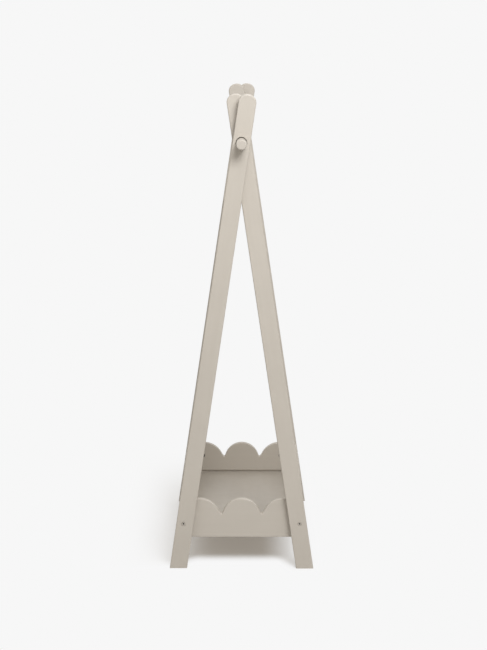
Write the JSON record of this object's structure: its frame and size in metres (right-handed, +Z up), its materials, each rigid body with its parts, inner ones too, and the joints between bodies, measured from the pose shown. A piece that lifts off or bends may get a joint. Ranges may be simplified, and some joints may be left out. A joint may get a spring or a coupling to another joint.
{
  "type": "dress-up storage rail with mirror",
  "caption": "Children's dress-up storage unit: crossed A-frame legs, a round hanging rail, a scalloped storage tray and a tall mirror between the back legs.",
  "frame": {"origin": "on the ground, under the middle of the unit", "axes": "+X along the rail to the mirror's end, +Y to the back where the mirror looks, -Y to the open front, +Z up"},
  "size_m": [0.788, 0.3351, 1.1002],
  "materials": {
    "painted_wood": "satin paint on solid wood, warm mushroom",
    "painted_rail": "satin paint on a round wooden rail",
    "painted_tray": "satin paint on board",
    "bare_wood": "unfinished birch",
    "bolt_steel": "head painted to match, satin",
    "zinc_steel": "zinc plated",
    "mounting_tape": "black foam tape",
    "mirror_glass": "silvered on the back, polished"
  },
  "bodies": {
    "frame": {"left_outer_leg": "painted_wood", "left_inner_leg": "painted_wood", "right_outer_leg": "painted_wood", "right_inner_leg": "painted_wood", "left_end_panel": "painted_tray", "right_end_panel": "painted_tray", "tray_front_side": "painted_tray", "tray_back_side": "painted_tray", "tray_floor": "painted_tray", "leg_bolts": "bolt_steel", "barrel_nuts": "zinc_steel", "cam_locks": "zinc_steel", "cam_dowels": "zinc_steel", "tray_dowels": "bare_wood", "mirror_crossbar": "painted_wood", "crossbar_dowels": "bare_wood", "mirror_backboard": "painted_wood", "mirror_tape": "mounting_tape", "mirror_glass": "mirror_glass", "mirror_brackets": "zinc_steel", "bracket_screws": "zinc_steel", "mirror_screws": "zinc_steel"},
    "rail": {"hanging_rail": "painted_rail", "rail_stop_pins": "bare_wood"}
  },
  "joints": [
    {"name": "rail_spin", "type": "hinge", "parent": "frame", "child": "rail", "pos_m": [0, 0, 0.9911], "axis": [1, 0, 0], "continuous": true}
  ]
}
